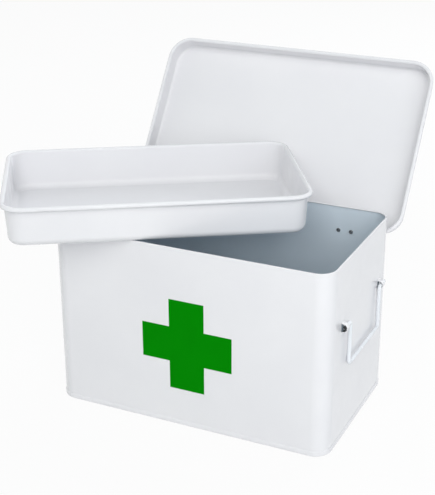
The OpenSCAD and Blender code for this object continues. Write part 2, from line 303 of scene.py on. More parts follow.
def add(tree, kind, inputs=(), **options):
    """New node. Each of the inputs gets a value, or the output that feeds it."""
    node = tree.nodes.new(kind)
    for key, value in options.items():
        setattr(node, key, value)
    for key, value in dict(inputs).items():
        if isinstance(value, bpy.types.NodeSocket):
            tree.links.new(value, node.inputs[key])
        else:
            node.inputs[key].default_value = value
    return node


def figure(tree, operation, first, second):
    """Result of one sum on two values, each a socket or a number."""
    return add(tree, "ShaderNodeMath", {0: first, 1: second}, operation=operation).outputs[0]


def new_finish(name):
    finish = bpy.data.materials.new(name)
    finish.use_nodes = True
    tree = finish.node_tree
    tree.nodes.clear()
    shader = add(tree, "ShaderNodeBsdfPrincipled")
    add(tree, "ShaderNodeOutputMaterial", {"Surface": shader.outputs["BSDF"]})
    return finish, tree, shader, add(tree, "ShaderNodeTexCoord").outputs["Object"]


def noise(tree, where, scale, detail=2.0, rough=0.5):
    return add(tree, "ShaderNodeTexNoise", {
        "Vector": where, "Scale": scale, "Detail": detail, "Roughness": rough}).outputs["Fac"]


def spread(tree, value, low, high, out_low=0.0, out_high=1.0):
    return add(tree, "ShaderNodeMapRange", {
        "Value": value, "From Min": low, "From Max": high, "To Min": out_low, "To Max": out_high,
    }).outputs["Result"]


def dimmed(tone, amount):
    return tuple(c * amount for c in tone)


def clouded(tree, shader, pattern, full, thin):
    """Base colour that drifts between two tones."""
    mix = add(tree, "ShaderNodeMix", {
        "Factor": spread(tree, pattern, 0.3, 0.7), "A": (*full, 1.0), "B": (*thin, 1.0)}, data_type="RGBA")
    tree.links.new(mix.outputs["Result"], shader.inputs["Base Color"])


def shined(tree, shader, pattern, edge, low, high):
    """Roughness that drifts between low and high."""
    tree.links.new(spread(tree, pattern, edge, 1 - edge, low, high), shader.inputs["Roughness"])


def raised(tree, shader, pattern, height):
    bump = add(tree, "ShaderNodeBump", {"Height": pattern, "Distance": height})
    tree.links.new(bump.outputs["Normal"], shader.inputs["Normal"])


def stove_paint(name, full, thin, roughness, peel=0.00001):
    """Stoved paint on sheet steel: slow changes of its film, soft gloss, a faint orange peel."""
    finish, tree, shader, where = new_finish(name)
    clouded(tree, shader, noise(tree, where, 14.0, 3.0), full, thin)
    shined(tree, shader, noise(tree, where, 60.0), 0.25, roughness - 0.03, roughness + 0.05)
    raised(tree, shader, noise(tree, where, 520.0, 1.0), peel)
    shader.inputs["IOR"].default_value = 1.5
    shader.inputs["Coat Weight"].default_value = 0.4
    shader.inputs["Coat Roughness"].default_value = 0.06
    return finish


def plated_steel(name, tone, roughness):
    """Zinc-plated steel: brushed along its length, with a faint cloud in its shine."""
    finish, tree, shader, where = new_finish(name)
    clouded(tree, shader, noise(tree, where, 260.0, 4.0, 0.6), tone, dimmed(tone, 0.82))
    brushed = add(tree, "ShaderNodeMapping", {"Vector": where, "Scale": (0.12, 1.0, 1.0)})
    grain = noise(tree, brushed.outputs["Vector"], 900.0, 2.0, 0.6)
    shined(tree, shader, grain, 0.3, roughness - 0.06, roughness + 0.1)
    raised(tree, shader, grain, 0.00001)
    shader.inputs["Metallic"].default_value = 1.0
    return finish


def printed_cross(name, tone):
    """Printed film: even ink, a soft sheen and the paint's texture through it."""
    finish, tree, shader, where = new_finish(name)
    clouded(tree, shader, noise(tree, where, 40.0, 3.0), tone, (tone[0], tone[1] * 1.05, tone[2]))
    shined(tree, shader, noise(tree, where, 90.0), 0.25, 0.5, 0.6)
    raised(tree, shader, noise(tree, where, 700.0, 1.0), 0.00001)
    shader.inputs["Specular IOR Level"].default_value = 0.03
    return finish


def finish_named(name):
    """The finish of that name, made once."""
    if name in bpy.data.materials:
        return bpy.data.materials[name]
    tones = bpy.context.scene.medicine_box_finish
    recipes = {
        "white stove paint": (stove_paint, tones.paint, tones.paint_thin, tones.paint_gloss),
        # the body's inside: painted shade in bluish grey
        "grey inside coat": (stove_paint, tones.inside, tones.inside_shade_thin, 0.42),
        "white wire coat": (stove_paint, tones.wire, dimmed(tones.wire, 0.97), 0.25, 0.000006),
        # near-black: painted shade inside the lugs, on cut edges and on wire ends
        "bare dark metal": (stove_paint, tones.bare, dimmed(tones.bare, 0.7), 0.55),
        "plated steel": (plated_steel, tones.steel, 0.34),
        # a darker copy of the plated steel: painted shade on the rivets
        "dulled rivet steel": (plated_steel, dimmed(tones.steel, 0.6), 0.42),
        "green print": (printed_cross, tones.cross),
    }
    make, *values = recipes[name]
    return make(name, *values)


# Sheet-metal sections

LID_CROWN, TRAY_CROWN = 0.0007, 0.0004  # how far the middle of the lid's panel and the tray's floor is pressed out


def curled_section(height, edge, lean, curl, sheet, wall_steps):
    """Section of a pressed pan, from its inner floor over the curled rim to its outer floor.
    x is outwards from the wall at the rim, z is up from the underside."""
    rim, middle, bend = height - curl / 2, curl / 2 - sheet, -lean - edge
    start, last = bend - 0.0006, -130  # where the flat floor ends, and the angle that the curl is rolled to
    near = 0.0005 / (rim - edge)
    shares = [near, *np.linspace(0, 1, wall_steps + 1)[1:-1], 1 - near]
    tip = arc(middle, rim, curl / 2 - sheet / 2, last, last, 1)[0]
    points = [(start, sheet)]
    points += arc(bend, edge, edge - sheet, 270, 360, 10)
    points += between((-lean - sheet, edge), (-sheet, rim), shares)
    points += arc(middle, rim, curl / 2, 180, last, 30)
    points += arc(*tip, sheet / 2, last, last - 180, 6)[1:-1]
    points += arc(middle, rim, curl / 2 - sheet, last, 180, 22)
    points += between((0, rim), (-lean, edge), shares)
    points += arc(bend, edge, edge, 360, 270, 12)
    return points + [(start, 0.0)]


def crimped_section(height, bend, sheet):
    """Section of the base pan, whose top edge is pressed in against the walls."""
    lip = 0.0002
    points = [(-bend - 0.0005, sheet)]
    points += arc(-bend, bend, bend - sheet, 270, 360, 6)
    points += [(-sheet, height * 0.5), (-sheet, height - lip)]
    points += [(-sheet + 0.00006, height - 0.00004), (-sheet + 0.00016, height)]
    points += [(-lip, height - 0.0003), (-0.00006, height - 0.0008), (0, height - 0.0014), (0, height * 0.5)]
    points += arc(-bend, bend, bend, 360, 270, 8)
    return points + [(-bend - 0.0005, 0.0)]


def pressed_pan(name, width, depth, corner, section, crown, finishes, inside_rows=0):
    """Pan whose section runs round a rounded rectangle, with both faces of its floor closed. The second
    finish is for the floor's inner face and the first inside_rows rows of the section."""
    outline = round_outline(width, depth, corner, even(width / 2 - corner, 22), even(depth / 2 - corner, 12))
    count = len(outline[0])
    walls = [ring(outline, corner + x, z) for x, z in section]
    inner, outer = [floor_rings(walls[k], section[k][1], 9, crown) for k in (0, -1)]
    rows = inner[::-1] + walls + outer
    faces = band(len(rows), count)
    finish_of = None
    if inside_rows:
        finish_of = [int(j // count < len(inner) + inside_rows) for j in range(len(faces))]
    return solid_mesh(name, np.concatenate(rows), faces, finishes, finish_of)


def lug_middles(sizes):
    """Places of the lugs along an end wall."""
    step = sizes.lug_near + sizes.lug_width / 2
    return [sizes.lug_back - step, sizes.lug_back + step]


def pulled_out(sizes, along, height):
    """How far the wall is drawn outwards round a lug when the lug is pushed out of it."""
    far = sizes.lug_arch + sizes.lug_flare
    drawn, reach_along, reach_up = 0.00035, 0.0048, 0.0042
    total = np.zeros(np.broadcast(along, height).shape)
    for middle in lug_middles(sizes):
        for end in (-far, far):
            up = (height - sizes.handle_line - end) / reach_up
            total = total + drawn * np.exp(-((along - middle) / reach_along) ** 2 - up ** 2)
    return total


def normals(path):
    """Unit normals along a path in the plane."""
    along = np.gradient(np.array(path), axis=0)
    along /= np.linalg.norm(along, axis=1)[:, None]
    return np.column_stack([-along[:, 1], along[:, 0]])


def wall_shell(sizes, finishes):
    """The four walls in one closed sheet, its top edge rolled in, with a window behind each lug."""
    sheet, bead, top = sizes.sheet, sizes.rim_bead / 2, sizes.body_height - sizes.rim_bead / 2
    corner, line, far = sizes.body_corner, sizes.handle_line, sizes.lug_arch + sizes.lug_flare
    middles, half = lug_middles(sizes), sizes.lug_width / 2
    # Columns and rows of points, closer together round the windows
    beside = (0, half, 0.0048, 0.0065, 0.0085, 0.011)
    above = (-0.004, -0.002, 0, 0.0015, 0.003, 0.005, 0.0075, 0.0105)
    marks = [m + s * d for m in middles for s in (-1, 1) for d in beside]
    reach = sizes.body_depth / 2 - corner
    along_y = sorted({round(v, 6) for v in [*even(reach, 10), *marks] if -reach <= v <= reach})
    along_y = [v for i, v in enumerate(along_y) if i == 0 or v - along_y[i - 1] > 4e-4]
    heights = sorted({round(v, 6) for v in [
        sizes.base_bend, 0.004, 0.0075, 0.011, *np.linspace(0.02, line - 0.02, 6),
        *[line + s * (far + d) for s in (-1, 1) for d in above], line,
        *np.linspace(line + 0.02, top - 0.004, 4), top - 0.0012, top]})
    outline = round_outline(
        sizes.body_width, sizes.body_depth, corner, even(sizes.body_width / 2 - corner, 20), along_y)
    centres, outs = outline
    count, levels = len(centres), len(heights)
    on_end = np.abs(outs[:, 0]) > 0.9999

    def sheet_row(offset, height):
        row = ring(outline, corner + offset, height)
        row[:, 0] += np.where(on_end, np.sign(outs[:, 0]) * pulled_out(sizes, row[:, 1], height), 0)
        return row

    def rolled(middle, radius, start, end, steps):
        return [ring(outline, corner - bead + x, top + z) for x, z in arc(*middle, radius, start, end, steps)]

    last = 276  # the angle that the rim is rolled to
    tip = arc(0, 0, bead - sheet / 2, last, last, 1)[0]
    rows = [sheet_row(0, z) for z in heights]
    rows += rolled((0, 0), bead, 0, last, 22)[1:]
    rows += rolled(tip, sheet / 2, last, last + 180, 5)[1:-1]
    rows += rolled((0, 0), bead - sheet, last, 0, 12)
    inner = len(rows) - 1
    rows += [sheet_row(-sheet, z) for z in reversed(heights[:-1])]
    faces = band(len(rows), count)
    foot = (len(rows) - 1) * count
    faces += [(foot + i, foot + (i + 1) % count, (i + 1) % count, i) for i in range(count)]

    def in_window(i, j):
        """Whether the sheet between column i and the next is cut away above height j."""
        i, k = i % count, (i + 1) % count
        y, z = (centres[i][1] + centres[k][1]) / 2, (heights[j] + heights[j + 1]) / 2
        return on_end[i] and on_end[k] and abs(z - line) < far and any(abs(y - m) < half for m in middles)

    kept, finish_of = [], []
    for f, face in enumerate(faces):
        j, i = divmod(f, count)
        outside, inside = j < levels - 1, inner <= j < inner + levels - 1
        if (outside or inside) and in_window(i, j if outside else inner + levels - 2 - j):
            continue
        kept.append(face)
        finish_of.append(int(j >= inner - 14))  # the inside's bluish grey painted shade begins on the roll
    for i in range(count):
        for j in range(levels - 1):
            if in_window(i, j) != in_window(i - 1, j):
                low = (inner + levels - 1 - j) * count + i
                kept.append((j * count + i, (j + 1) * count + i, low - count, low))
                # The windows' cut edges wear the near-black painted shade.
                finish_of.append(2)
    return solid_mesh("body_walls", np.concatenate(rows), kept, finishes, finish_of)


def lug_strips(sizes, finishes):
    """The four strips pushed out of the end walls: a rounded section run along each arch."""
    sheet, crown, flare = sizes.sheet, sizes.lug_arch, sizes.lug_flare
    far, leg = crown + flare, sizes.lug_reach - crown
    path = [(-sheet / 2, far + 0.0011), (-sheet / 2, far + 0.0004)]
    path += arc(flare, far, flare + sheet / 2, 180, 270, 9)
    path += arc(leg, 0, crown - sheet / 2, 90, -90, 26)
    path += arc(flare, -far, flare + sheet / 2, 90, 180, 9)
    path += [(-sheet / 2, -far - 0.0004), (-sheet / 2, -far - 0.0011)]
    soft, half, wide = 0.00016, sheet / 2, sizes.lug_width / 2
    section = []
    for sy, sn, start in ((1, 1, 0), (-1, 1, 90), (-1, -1, 180), (1, -1, 270)):
        section += arc(sy * (wide - soft), sn * (half - soft), soft, start, start + 90, 3)
    points, faces, finish_of = [], [], []
    for side in (-1, 1):
        for middle in lug_middles(sizes):
            start, n = len(points), len(section)
            for (x, z), (nx, nz) in zip(path, normals(path)):
                for y, t in section:
                    up = sizes.handle_line + z + nz * t
                    out = x + nx * t + float(pulled_out(sizes, middle + y, up))
                    points.append((side * (sizes.body_width / 2 + out), middle + y, up))
            faces += band(len(path), n, start)
            finish_of += [int(9 <= i <= 13) for i in range(n)] * (len(path) - 1)  # the side towards the wall wears the near-black painted shade
            faces += [tuple(first + i for i in range(n)) for first in (start, start + (len(path) - 1) * n)]
            finish_of += [0, 0]
    return solid_mesh("lug_strips", points, faces, finishes, finish_of)


# Geometry Nodes trees

def new_tree(name, inputs):
    """Tree with an input for each name, and the sockets that give them. A default is a number,
    a vector, or None for a finish."""
    tree = bpy.data.node_groups.new(name, "GeometryNodeTree")
    for way in ("INPUT", "OUTPUT"):
        tree.interface.new_socket("Geometry", in_out=way, socket_type="NodeSocketGeometry")
    for label, default in inputs.items():
        kind = {float: "Float", tuple: "Vector"}.get(type(default), "Material")
        socket = tree.interface.new_socket(label, in_out="INPUT", socket_type="NodeSocket" + kind)
        if default is not None:
            socket.default_value = default
    return tree, add(tree, "NodeGroupInput").outputs


def vector(tree, x=0.0, y=0.0, z=0.0):
    return add(tree, "ShaderNodeCombineXYZ", {0: x, 1: y, 2: z}).outputs[0]


def circle(tree, radius, steps):
    return add(tree, "GeometryNodeCurvePrimitiveCircle", {"Resolution": steps, "Radius": radius}).outputs["Curve"]


def ball(tree, radius, steps):
    return add(tree, "GeometryNodeMeshUVSphere", {
        "Segments": steps, "Rings": steps // 2, "Radius": radius}).outputs["Mesh"]


def joined(tree, *parts):
    node = add(tree, "GeometryNodeJoinGeometry")
    for part in parts:
        tree.links.new(part, node.inputs["Geometry"])
    return node.outputs["Geometry"]


def dressed(tree, geometry, finish):
    return add(tree, "GeometryNodeSetMaterial", {"Geometry": geometry, "Material": finish}).outputs["Geometry"]


def close_tree(tree, geometry, given):
    """Realize Instances, smooth shading and Set Material, in that order. What already wears the
    end finish keeps it."""
    real = add(tree, "GeometryNodeRealizeInstances", {"Geometry": geometry})
    smooth = add(tree, "GeometryNodeSetShadeSmooth", {"Geometry": real.outputs["Geometry"]})
    worn = add(tree, "GeometryNodeMaterialSelection", {"Material": given["End Finish"]})
    others = add(tree, "FunctionNodeBooleanMath", {0: worn.outputs["Selection"]}, operation="NOT")
    dress = add(tree, "GeometryNodeSetMaterial", {
        "Geometry": smooth.outputs["Geometry"], "Material": given["Finish"],
        "Selection": others.outputs["Boolean"]})
    add(tree, "NodeGroupOutput", {"Geometry": dress.outputs["Geometry"]})
    return tree


def grown(name, tree, values, points, edges):
    """Runs a tree on a mesh of points and edges and returns the result as a plain mesh object."""
    seed = bpy.data.meshes.new(name + "_seed")
    seed.from_pydata(points, edges, [])
    obj = shown(name, seed)
    modifier = obj.modifiers.new(name, "NODES")
    modifier.node_group = tree
    for item in tree.interface.items_tree:
        if item.item_type == "SOCKET" and item.in_out == "INPUT" and item.name in values:
            modifier[item.identifier] = values[item.name]
    mesh = baked(obj, modifier)
    mesh.name = name
    if not mesh.polygons:
        raise RuntimeError(f"{name} came out empty")
    return obj


def wire_tree():
    """Bends a wire through the corners of a path, with rounded ends."""
    tree, given = new_tree("Bent wire", {
        "Wire Diameter": 0.004, "Bend Radius": 0.0035, "Finish": None, "End Finish": None})
    radius = figure(tree, "MULTIPLY", given["Wire Diameter"], 0.5)
    path = add(tree, "GeometryNodeMeshToCurve", {"Mesh": given["Geometry"]}).outputs["Curve"]
    bends = add(tree, "GeometryNodeFilletCurve", {
        "Curve": path, "Radius": given["Bend Radius"], "Count": 12}, mode="POLY")
    rod = add(tree, "GeometryNodeCurveToMesh", {
        "Curve": bends.outputs["Curve"], "Profile Curve": circle(tree, radius, 28), "Fill Caps": False})
    ends = add(tree, "GeometryNodeCurveEndpointSelection")
    tips = add(tree, "GeometryNodeInstanceOnPoints", {
        "Points": path, "Selection": ends.outputs["Selection"],
        "Instance": dressed(tree, ball(tree, radius, 28), given["End Finish"])})
    return close_tree(tree, joined(tree, rod.outputs["Mesh"], tips.outputs["Instances"]), given)


def rivet_tree():
    """Rivets in pairs at two hinges: domed head up, hollow tail rolled out below the grip."""
    tree, given = new_tree("Riveted pairs", {
        "Head Diameter": 0.0044, "Dome Height": 0.0012, "Shank Diameter": 0.0028, "Grip": 0.0016,
        "Roll": 0.0009, "Pitch": 0.014, "Hinge Spacing": 0.201, "Turn": (0.0, 0.0, 0.0),
        "Place": (0.0, 0.0, 0.0), "Finish": None, "End Finish": None})

    def times(value, factor):
        return figure(tree, "MULTIPLY", value, factor)

    def moved(mesh, **way):
        return add(tree, "GeometryNodeTransform", {"Geometry": mesh, **way}).outputs["Geometry"]

    def pair(geometry, distance):
        line = add(tree, "GeometryNodeMeshLine", {
            "Count": 2, "Start Location": vector(tree, times(distance, -0.5)), "Offset": vector(tree, distance)})
        return add(tree, "GeometryNodeInstanceOnPoints", {
            "Points": line.outputs["Mesh"], "Instance": geometry}).outputs["Instances"]

    grip, head_r, roll_r = given["Grip"], times(given["Head Diameter"], 0.5), times(given["Roll"], 0.5)
    loop_r = figure(tree, "SUBTRACT", head_r, roll_r)
    head = moved(ball(tree, 1.0, 32), Scale=vector(tree, head_r, head_r, given["Dome Height"]))
    shank = add(tree, "GeometryNodeMeshCylinder", {
        "Vertices": 32, "Radius": times(given["Shank Diameter"], 0.5), "Depth": grip})
    stem = moved(shank.outputs["Mesh"], Translation=vector(tree, z=times(grip, -0.5)))
    roll = add(tree, "GeometryNodeCurveToMesh", {
        "Curve": circle(tree, loop_r, 32), "Profile Curve": circle(tree, roll_r, 14)})
    low = times(figure(tree, "ADD", grip, roll_r), -1.0)
    tail = moved(roll.outputs["Mesh"], Translation=vector(tree, z=low))
    # The core keeps the lighter plated steel: painted light in the middle of the darker ring.
    core = moved(
        dressed(tree, ball(tree, 1.0, 24), given["End Finish"]), Translation=vector(tree, z=times(grip, -1.0)),
        Scale=vector(tree, loop_r, loop_r, times(roll_r, 1.1)))
    turned = moved(joined(tree, head, stem, tail, core), Rotation=given["Turn"])
    four = pair(pair(turned, given["Pitch"]), given["Hinge Spacing"])
    return close_tree(tree, moved(four, Translation=given["Place"]), given)


# Hinge parts

LEAF_CORNER, CRANK_BEND = 0.002, 0.0008  # radii of the body leaf's corners and the lid leaf's bends


def rounded_path(corners, radius):
    """Path through corners in the plane, each corner but the ends turned with the radius."""
    points = [tuple(corners[0])]
    for before, here, after in zip(corners, corners[1:], corners[2:]):
        here = Vector(here)
        back, on = (Vector(before) - here).normalized(), (Vector(after) - here).normalized()
        half = back.angle(on) / 2
        centre = here + (back + on).normalized() * (radius / math.sin(half))
        first, last = here + back * (radius / math.tan(half)), here + on * (radius / math.tan(half))
        for t in np.linspace(0, 1, 7):
            way = (first + (last - first) * t) - centre
            points.append(tuple(centre + way.normalized() * radius))
    return points + [tuple(corners[-1])]


def bent_sheet(name, path, columns, kept, thickness, corner, finish):
    """Sheet that follows a path in (y, z), its columns along x. kept says which columns are there
    at each step of the path, and corner rounds the two corners at the path's start."""
    path = np.array(path)
    run = np.concatenate([[0], np.cumsum(np.linalg.norm(np.diff(path, axis=0), axis=1))])
    wide, n = columns[-1], len(columns)
    points = []
    for side in (0.5, -0.5):
        for p, m, s in zip(path, normals(path), run):
            y, z = p + m * side * thickness
            half = wide if s >= corner else wide - corner + math.sqrt(max(corner ** 2 - (corner - s) ** 2, 0.0))
            points += [(min(max(x, -half), half), y, z) for x in columns]
    size = len(path) * n
    faces = []
    for i in range(len(path) - 1):
        for j in range(n - 1):
            if not kept(i, j):
                continue
            a, b, c, d = i * n + j, i * n + j + 1, (i + 1) * n + j + 1, (i + 1) * n + j
            faces += [(a, b, c, d), (size + d, size + c, size + b, size + a)]
            for near, e, f in (((i - 1, j), a, b), ((i, j + 1), b, c), ((i + 1, j), c, d), ((i, j - 1), d, a)):
                inside = 0 <= near[0] < len(path) - 1 and 0 <= near[1] < n - 1
                if not (inside and kept(*near)):
                    faces.append((f, e, size + e, size + f))
    obj = solid_mesh(name, points, faces, [finish])
    soften = obj.modifiers.new("soft edges", "BEVEL")
    soften.width = 0.00012
    soften.segments = 2
    soften.limit_method = "ANGLE"
    soften.angle_limit = math.radians(50)
    mesh = baked(obj, soften)
    mesh.shade_smooth()
    mesh.set_sharp_from_angle(angle=CREASE)
    return obj


def leaf_columns(sizes, middle):
    """Places across a leaf, with middle as half the width of its tongue or slot."""
    half = sizes.hinge_width / 2
    return [-half, LEAF_CORNER - half, -middle, middle, half - LEAF_CORNER, half]


def body_leaf(name, sizes, finish):
    """Body leaf: a plate whose top is rolled into two knuckles with a slot between them."""
    gauge, face, low = sizes.leaf - sizes.leaf_air, sizes.leaf / 2 - sizes.hinge_back, -sizes.leaf_drop
    path = [(face, low + LEAF_CORNER * t * t) for t in np.linspace(0, 1, 7)]
    path += [(face, z) for z in (low / 2, -0.003, -sizes.hinge_back)]
    slot = len(path) - 1
    path += [(face + 0.00003, -0.0016), (face + 0.00009, -0.0008)]  # eases into the knuckle
    path += arc(0, 0, (sizes.knuckle - gauge) / 2, 180, -112, 26)
    columns = leaf_columns(sizes, sizes.tongue / 2 + sizes.hinge_play)
    return bent_sheet(name, path, columns, lambda i, j: i < slot or j != 2, gauge, LEAF_CORNER, finish)


def lid_leaf(name, sizes, finish):
    """Lid leaf: plate on the lid's wall, a crank over the curl, and a tongue rolled into a knuckle."""
    gauge, half = sizes.leaf - sizes.leaf_air, sizes.leaf / 2
    wall = sizes.lid_over - sizes.hinge_back
    step = sizes.lid_height - sizes.lid_depth + sizes.lid_curl - sizes.hinge_line + 2 * sizes.hinge_play + half
    out = wall - sizes.sheet + sizes.lid_curl + 2 * sizes.hinge_play + half
    top = sizes.lid_height - sizes.lid_edge - sizes.hinge_line
    slope = sizes.lid_open - math.pi / 2  # the tongue lies along the body leaf when the lid is open
    on, off = Vector((math.cos(slope), math.sin(slope))), Vector((math.sin(slope), -math.cos(slope)))
    offset = sizes.hinge_back - sizes.hinge_play - 1.5 * sizes.leaf
    turned = off * offset + on * ((out - off.x * offset) / on.x)
    foot = on * 0.0034 + off * offset
    path = [(wall + half, top - d) for d in (0, 0.0003, 0.001)]
    crank = [path[-1], (wall + half, step), (out, step), tuple(turned), tuple(foot)]
    path += rounded_path(crank, CRANK_BEND)[1:]
    last_wide = max(i for i, p in enumerate(path) if p[1] >= step - 1e-6)
    knuckle = [(0.0026, offset + 0.00004), (0.002, offset + 0.00018), (0.00145, offset + 0.00042)]  # eases into it
    knuckle += arc(0, 0, (sizes.knuckle - gauge) / 2, 55, 326, 24)
    path += [tuple(on * u + off * v) for u, v in knuckle]
    columns = leaf_columns(sizes, sizes.tongue / 2)
    return bent_sheet(name, path, columns, lambda i, j: i < last_wide or j == 2, gauge, CRANK_BEND, finish)


def hinge_pin(name, sizes, finish):
    """Pin with its ends rounded over."""
    radius, half, dome, steps = sizes.pin / 2, sizes.hinge_width / 2, 0.0002, 24
    rows = [(-half - dome * math.cos(a), radius * math.sin(a)) for a in np.linspace(0, math.pi / 2, 5)]
    rows += [(-half / 2, radius), (half / 2, radius)]
    rows += [(half + dome * math.cos(a), radius * math.sin(a)) for a in np.linspace(math.pi / 2, 0, 5)]
    turns = np.linspace(0, 2 * math.pi, steps, endpoint=False)
    points = [(x, r * math.cos(a), r * math.sin(a)) for x, r in rows for a in turns]
    return solid_mesh(name, points, band(len(rows), steps), [finish])


# Operators

AIM = Vector((0.0, 0.0, 0.13))  # where the lamps look


class MEDICINEBOX_OT_stage(bpy.types.Operator):
    """Floor, soft lamps, pale surround and the camera at the photograph's angle"""
    bl_idname = "medicine_box.stage"
    bl_label = "Studio"

    def execute(self, context):
        stage = context.scene.medicine_box_stage
        self.floor(stage)
        self.surround(stage)
        plain, cool = (1.0, 0.985, 0.95), (0.97, 0.98, 1.0)
        self.lamp("key lamp", (0.6, -1.5, 1.5), 1.5, stage.key, plain)
        self.lamp("fill lamp", (1.35, -1.2, 0.7), 1.2, stage.fill, cool)
        self.lamp("left lamp", (-1.7, -0.5, 0.8), 1.3, stage.left, plain)
        self.lamp("back lamp", (0.3, 1.7, 1.2), 1.3, stage.back, cool)
        self.lamp("left glint lamp", (-1.1, -0.9, 1.0), 0.1, stage.glint, plain, mirrored=True)
        self.lamp("right glint lamp", (1.5, -0.4, 1.1), 0.1, stage.glint, plain, mirrored=True)
        self.camera(stage)
        return {"FINISHED"}

    def floor(self, stage):
        """Wide pale disc in rings, lifted towards white where it is seen."""
        mesh = bpy.data.meshes.new("studio_floor")
        steps = 24
        points = [(0.0, 0.0, 0.0)]
        for radius in (0.5, 1.5, 4.0, 9.0):
            points += [(radius * math.cos(a), radius * math.sin(a), 0.0)
                       for a in np.linspace(0, 2 * math.pi, steps, endpoint=False)]
        faces = [(0, 1 + i, 1 + (i + 1) % steps) for i in range(steps)]
        for r in range(3):
            a, b = 1 + r * steps, 1 + (r + 1) * steps
            faces += [(a + i, b + i, b + (i + 1) % steps, a + (i + 1) % steps) for i in range(steps)]
        mesh.from_pydata(points, [], faces)
        floor = shown("studio_floor", mesh)
        finish, tree, shader, where = new_finish("pale floor")
        tone = tuple(stage.floor)
        clouded(tree, shader, noise(tree, where, 3.0), tone, dimmed(tone, 0.985))
        shader.inputs["Roughness"].default_value = 0.9
        shader.inputs["Specular IOR Level"].default_value = 0.1
        glow = add(tree, "ShaderNodeEmission")
        mix = add(tree, "ShaderNodeMixShader", {
            "Fac": self.seen_directly(tree, stage.floor_lift), 1: shader.outputs["BSDF"],
            2: glow.outputs["Emission"]})
        out = next(n for n in tree.nodes if n.type == "OUTPUT_MATERIAL")
        tree.links.new(mix.outputs["Shader"], out.inputs["Surface"])
        mesh.materials.append(finish)

    def seen_directly(self, tree, amount):
        """amount for camera, glossy and transmission rays, and 0 for the rest."""
        rays = add(tree, "ShaderNodeLightPath").outputs
        seen = rays["Is Camera Ray"]
        for kind in ("Is Glossy Ray", "Is Transmission Ray"):
            seen = figure(tree, "MAXIMUM", seen, rays[kind])
        return figure(tree, "MULTIPLY", seen, amount)

    def surround(self, stage):
        world = bpy.data.worlds.new("pale surround")
        bpy.context.scene.world = world
        world.use_nodes = True
        tree = world.node_tree
        tree.nodes.clear()
        light = add(tree, "ShaderNodeBackground", {"Color": (0.84, 0.94, 1.0, 1.0), "Strength": stage.surround})
        white = add(tree, "ShaderNodeBackground", {"Color": (1.0, 1.0, 1.0, 1.0), "Strength": 1.0})
        mix = add(tree, "ShaderNodeMixShader", {
            "Fac": self.seen_directly(tree, 1.0), 1: light.outputs["Background"], 2: white.outputs["Background"]})
        add(tree, "ShaderNodeOutputWorld", {"Surface": mix.outputs["Shader"]})

    def lamp(self, name, where, size, watts, tone, mirrored=False):
        data = bpy.data.lights.new(name, "AREA")
        data.shape = "SQUARE"
        data.size = size
        data.energy = watts
        data.color = tone
        lamp = shown(name, data)
        lamp.location = where
        lamp.visible_glossy = mirrored
        lamp.rotation_mode = "QUATERNION"
        lamp.rotation_quaternion = (AIM - Vector(where)).to_track_quat("-Z", "Y")

    def camera(self, stage):
        data = bpy.data.cameras.new("camera")
        data.sensor_width = 36.0
        data.lens = stage.focal_length
        data.shift_x, data.shift_y = stage.shift_x, stage.shift_y
        data.clip_start, data.clip_end = 0.05, 40.0
        camera = shown("camera", data)
        a, e, roll = stage.camera_round, stage.camera_up, stage.camera_roll
        back = Vector((math.sin(a) * math.cos(e), -math.cos(a) * math.cos(e), math.sin(e)))
        right = Vector((math.cos(a), math.sin(a), 0.0))
        up = back.cross(right)
        across = right * math.cos(roll) + up * math.sin(roll)
        over = up * math.cos(roll) - right * math.sin(roll)
        matrix = Matrix((across, over, back)).transposed().to_4x4()
        matrix.translation = (stage.camera_x, stage.camera_y, stage.camera_z)
        camera.matrix_world = matrix
        bpy.context.scene.camera = camera
        bpy.context.scene.view_settings.view_transform = "Standard"


class MEDICINEBOX_OT_body(bpy.types.Operator):
    """Four walls of one sheet with a rolled rim and the lugs that are pushed out of its ends"""
    bl_idname = "medicine_box.body"
    bl_label = "Body"

    def execute(self, context):
        sizes = context.scene.medicine_box_sizes
        # The walls' inside wears a bluish grey painted shade.
        white, bare = finish_named("white stove paint"), finish_named("bare dark metal")
        walls = wall_shell(sizes, [white, finish_named("grey inside coat"), bare])
        stand_in(walls, "body", "white_paint", "body_shell")
        # The lugs' side towards the wall wears the near-black painted shade.
        lugs = lug_strips(sizes, [white, bare])
        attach(lugs, "body")
        return {"FINISHED"}


class MEDICINEBOX_OT_base_pan(bpy.types.Operator):
    """Base pan, its upstand crimped round the foot of the walls"""
    bl_idname = "medicine_box.base_pan"
    bl_label = "Base pan"

    def execute(self, context):
        sizes = context.scene.medicine_box_sizes
        section = crimped_section(sizes.base_upstand, sizes.base_bend, sizes.base_sheet)
        # The pan's inner face wears the bluish grey painted shade.
        pan = pressed_pan(
            "base_pan_pressed", sizes.body_width + 2 * sizes.base_proud, sizes.body_depth + 2 * sizes.base_proud,
            sizes.body_corner + sizes.base_proud, section, 0.0,
            [finish_named("white stove paint"), finish_named("grey inside coat")], inside_rows=9)
        stand_in(pan, "body", "white_paint", "base_pan")
        return {"FINISHED"}


class MEDICINEBOX_OT_lid(bpy.types.Operator):
    """Lid: a pressed pan with a curled edge, swung open to its stop"""
    bl_idname = "medicine_box.lid"
    bl_label = "Lid"

    def execute(self, context):
        sizes = context.scene.medicine_box_sizes
        section = curled_section(sizes.lid_depth, sizes.lid_edge, 0.0, sizes.lid_curl, sizes.sheet, 3)
        lid = pressed_pan(
            "lid_pressed", sizes.body_width + 2 * sizes.lid_over, sizes.body_depth + 2 * sizes.lid_over,
            sizes.body_corner + sizes.lid_over, section, -LID_CROWN, [finish_named("white stove paint")])
        closed = Matrix.Translation((0, 0, sizes.lid_height)) @ Matrix.Rotation(math.pi, 4, "X")
        place(lid, swung_open(sizes) @ closed)
        stand_in(lid, "lid", "white_paint", "lid_shell")
        return {"FINISHED"}


